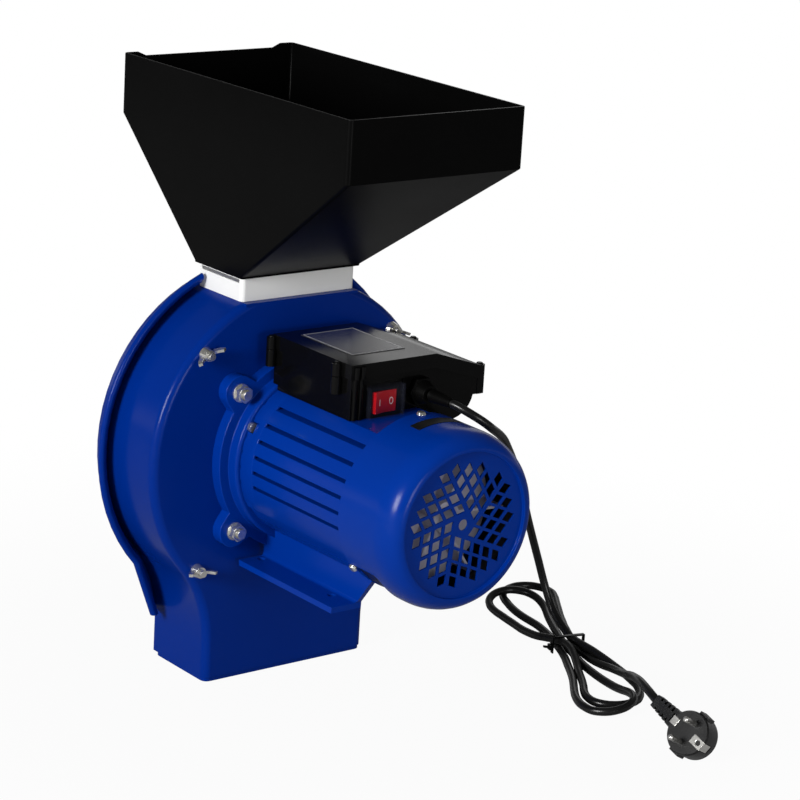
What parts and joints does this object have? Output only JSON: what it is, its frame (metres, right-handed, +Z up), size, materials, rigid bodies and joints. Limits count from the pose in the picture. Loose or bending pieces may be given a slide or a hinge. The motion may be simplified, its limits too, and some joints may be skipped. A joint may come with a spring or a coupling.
{
  "type": "electric grain mill",
  "caption": "Electric grain mill: a blue beater drum with a bolted-on motor, a feed hopper and a feed slide above, an open outlet below, and a switch box with its power cord.",
  "frame": {"origin": "centre of the motor's four foot holes, on the underside of its feet", "axes": "+Z up, +Y along the rotor axis from the motor towards the drum's cover, +X to the right for someone who faces the fan cover"},
  "size_m": [0.4849, 0.508, 0.515],
  "materials": {
    "blue_enamel": "gloss",
    "black_plastic": "satin",
    "black_hopper": "satin",
    "white_plastic": "satin",
    "zinc": "satin",
    "bare_steel": "satin",
    "core_steel": "matte",
    "copper_windings": "gloss",
    "red_rocker": "gloss",
    "clear_hood": "gloss",
    "cord_rubber": "satin",
    "plate_silver": "satin"
  },
  "bodies": {
    "mill": {"drum_housing": "blue_enamel", "outlet_frame": "blue_enamel", "front_cover": "blue_enamel", "cover_studs": "zinc", "sieve": "bare_steel", "sieve_rails": "bare_steel", "front_bearing": "bare_steel", "rear_bearing": "bare_steel", "stator_core": "core_steel", "stator_windings": "copper_windings", "motor_frame": "blue_enamel", "motor_foot": "blue_enamel", "tie_screws": "zinc", "drive_end_flange": "blue_enamel", "rear_end_shield": "blue_enamel", "flange_bolts": "zinc", "flange_washers": "zinc", "flange_nuts": "zinc", "fan_cover": "blue_enamel", "fan_cover_screws": "zinc", "fan_cover_plate": "plate_silver", "hopper": "black_hopper", "neck_collar": "white_plastic", "switch_box": "black_plastic", "box_lid": "black_plastic", "lid_screws": "zinc", "lid_plate": "plate_silver", "switch_frame": "black_plastic", "switch_hood": "clear_hood", "start_capacitor": "white_plastic", "run_capacitor": "white_plastic", "terminal_block": "white_plastic", "cable_gland": "black_plastic", "power_cord": "cord_rubber", "cord_tail": "cord_rubber", "cord_hank": "cord_rubber", "cable_tie": "black_plastic", "plug_body": "cord_rubber", "plug_pins": "zinc", "plug_earth_clips": "bare_steel"},
    "rotor": {"motor_shaft": "bare_steel", "rotor_core": "core_steel", "cooling_fan": "black_plastic", "beater_hub": "bare_steel", "beater_blade": "bare_steel", "blade_nut": "zinc"},
    "rocker": {"switch_rocker": "red_rocker"},
    "slide": {"feed_slide": "zinc"},
    "wing_nut_upper_left": {"wing_nut_upper_left": "zinc"},
    "wing_nut_upper_right": {"wing_nut_upper_right": "zinc"},
    "wing_nut_lower_left": {"wing_nut_lower_left": "zinc"},
    "wing_nut_lower_right": {"wing_nut_lower_right": "zinc"}
  },
  "joints": [
    {"name": "rotor_spin", "type": "hinge", "parent": "mill", "child": "rotor", "pos_m": [0, 0.064, 0.0935], "axis": [0, 1, 0], "continuous": true},
    {"name": "power_switch", "type": "hinge", "parent": "mill", "child": "rocker", "pos_m": [-0.005, -0.056, 0.1682], "axis": [0, 0, 1], "range_deg": [-14, 0]},
    {"name": "feed_gate", "type": "slide", "parent": "mill", "child": "slide", "axis": [-1, 0, 0], "range_m": [0, 0.095]},
    {"name": "wing_nut_turn_upper_left", "type": "hinge", "parent": "mill", "child": "wing_nut_upper_left", "pos_m": [-0.096, 0.064, 0.1875], "axis": [0, 1, 0], "continuous": true},
    {"name": "wing_nut_turn_upper_right", "type": "hinge", "parent": "mill", "child": "wing_nut_upper_right", "pos_m": [0.096, 0.064, 0.1875], "axis": [0, 1, 0], "continuous": true},
    {"name": "wing_nut_turn_lower_left", "type": "hinge", "parent": "mill", "child": "wing_nut_lower_left", "pos_m": [-0.096, 0.064, -0.0005], "axis": [0, 1, 0], "continuous": true},
    {"name": "wing_nut_turn_lower_right", "type": "hinge", "parent": "mill", "child": "wing_nut_lower_right", "pos_m": [0.096, 0.064, -0.0005], "axis": [0, 1, 0], "continuous": true}
  ]
}
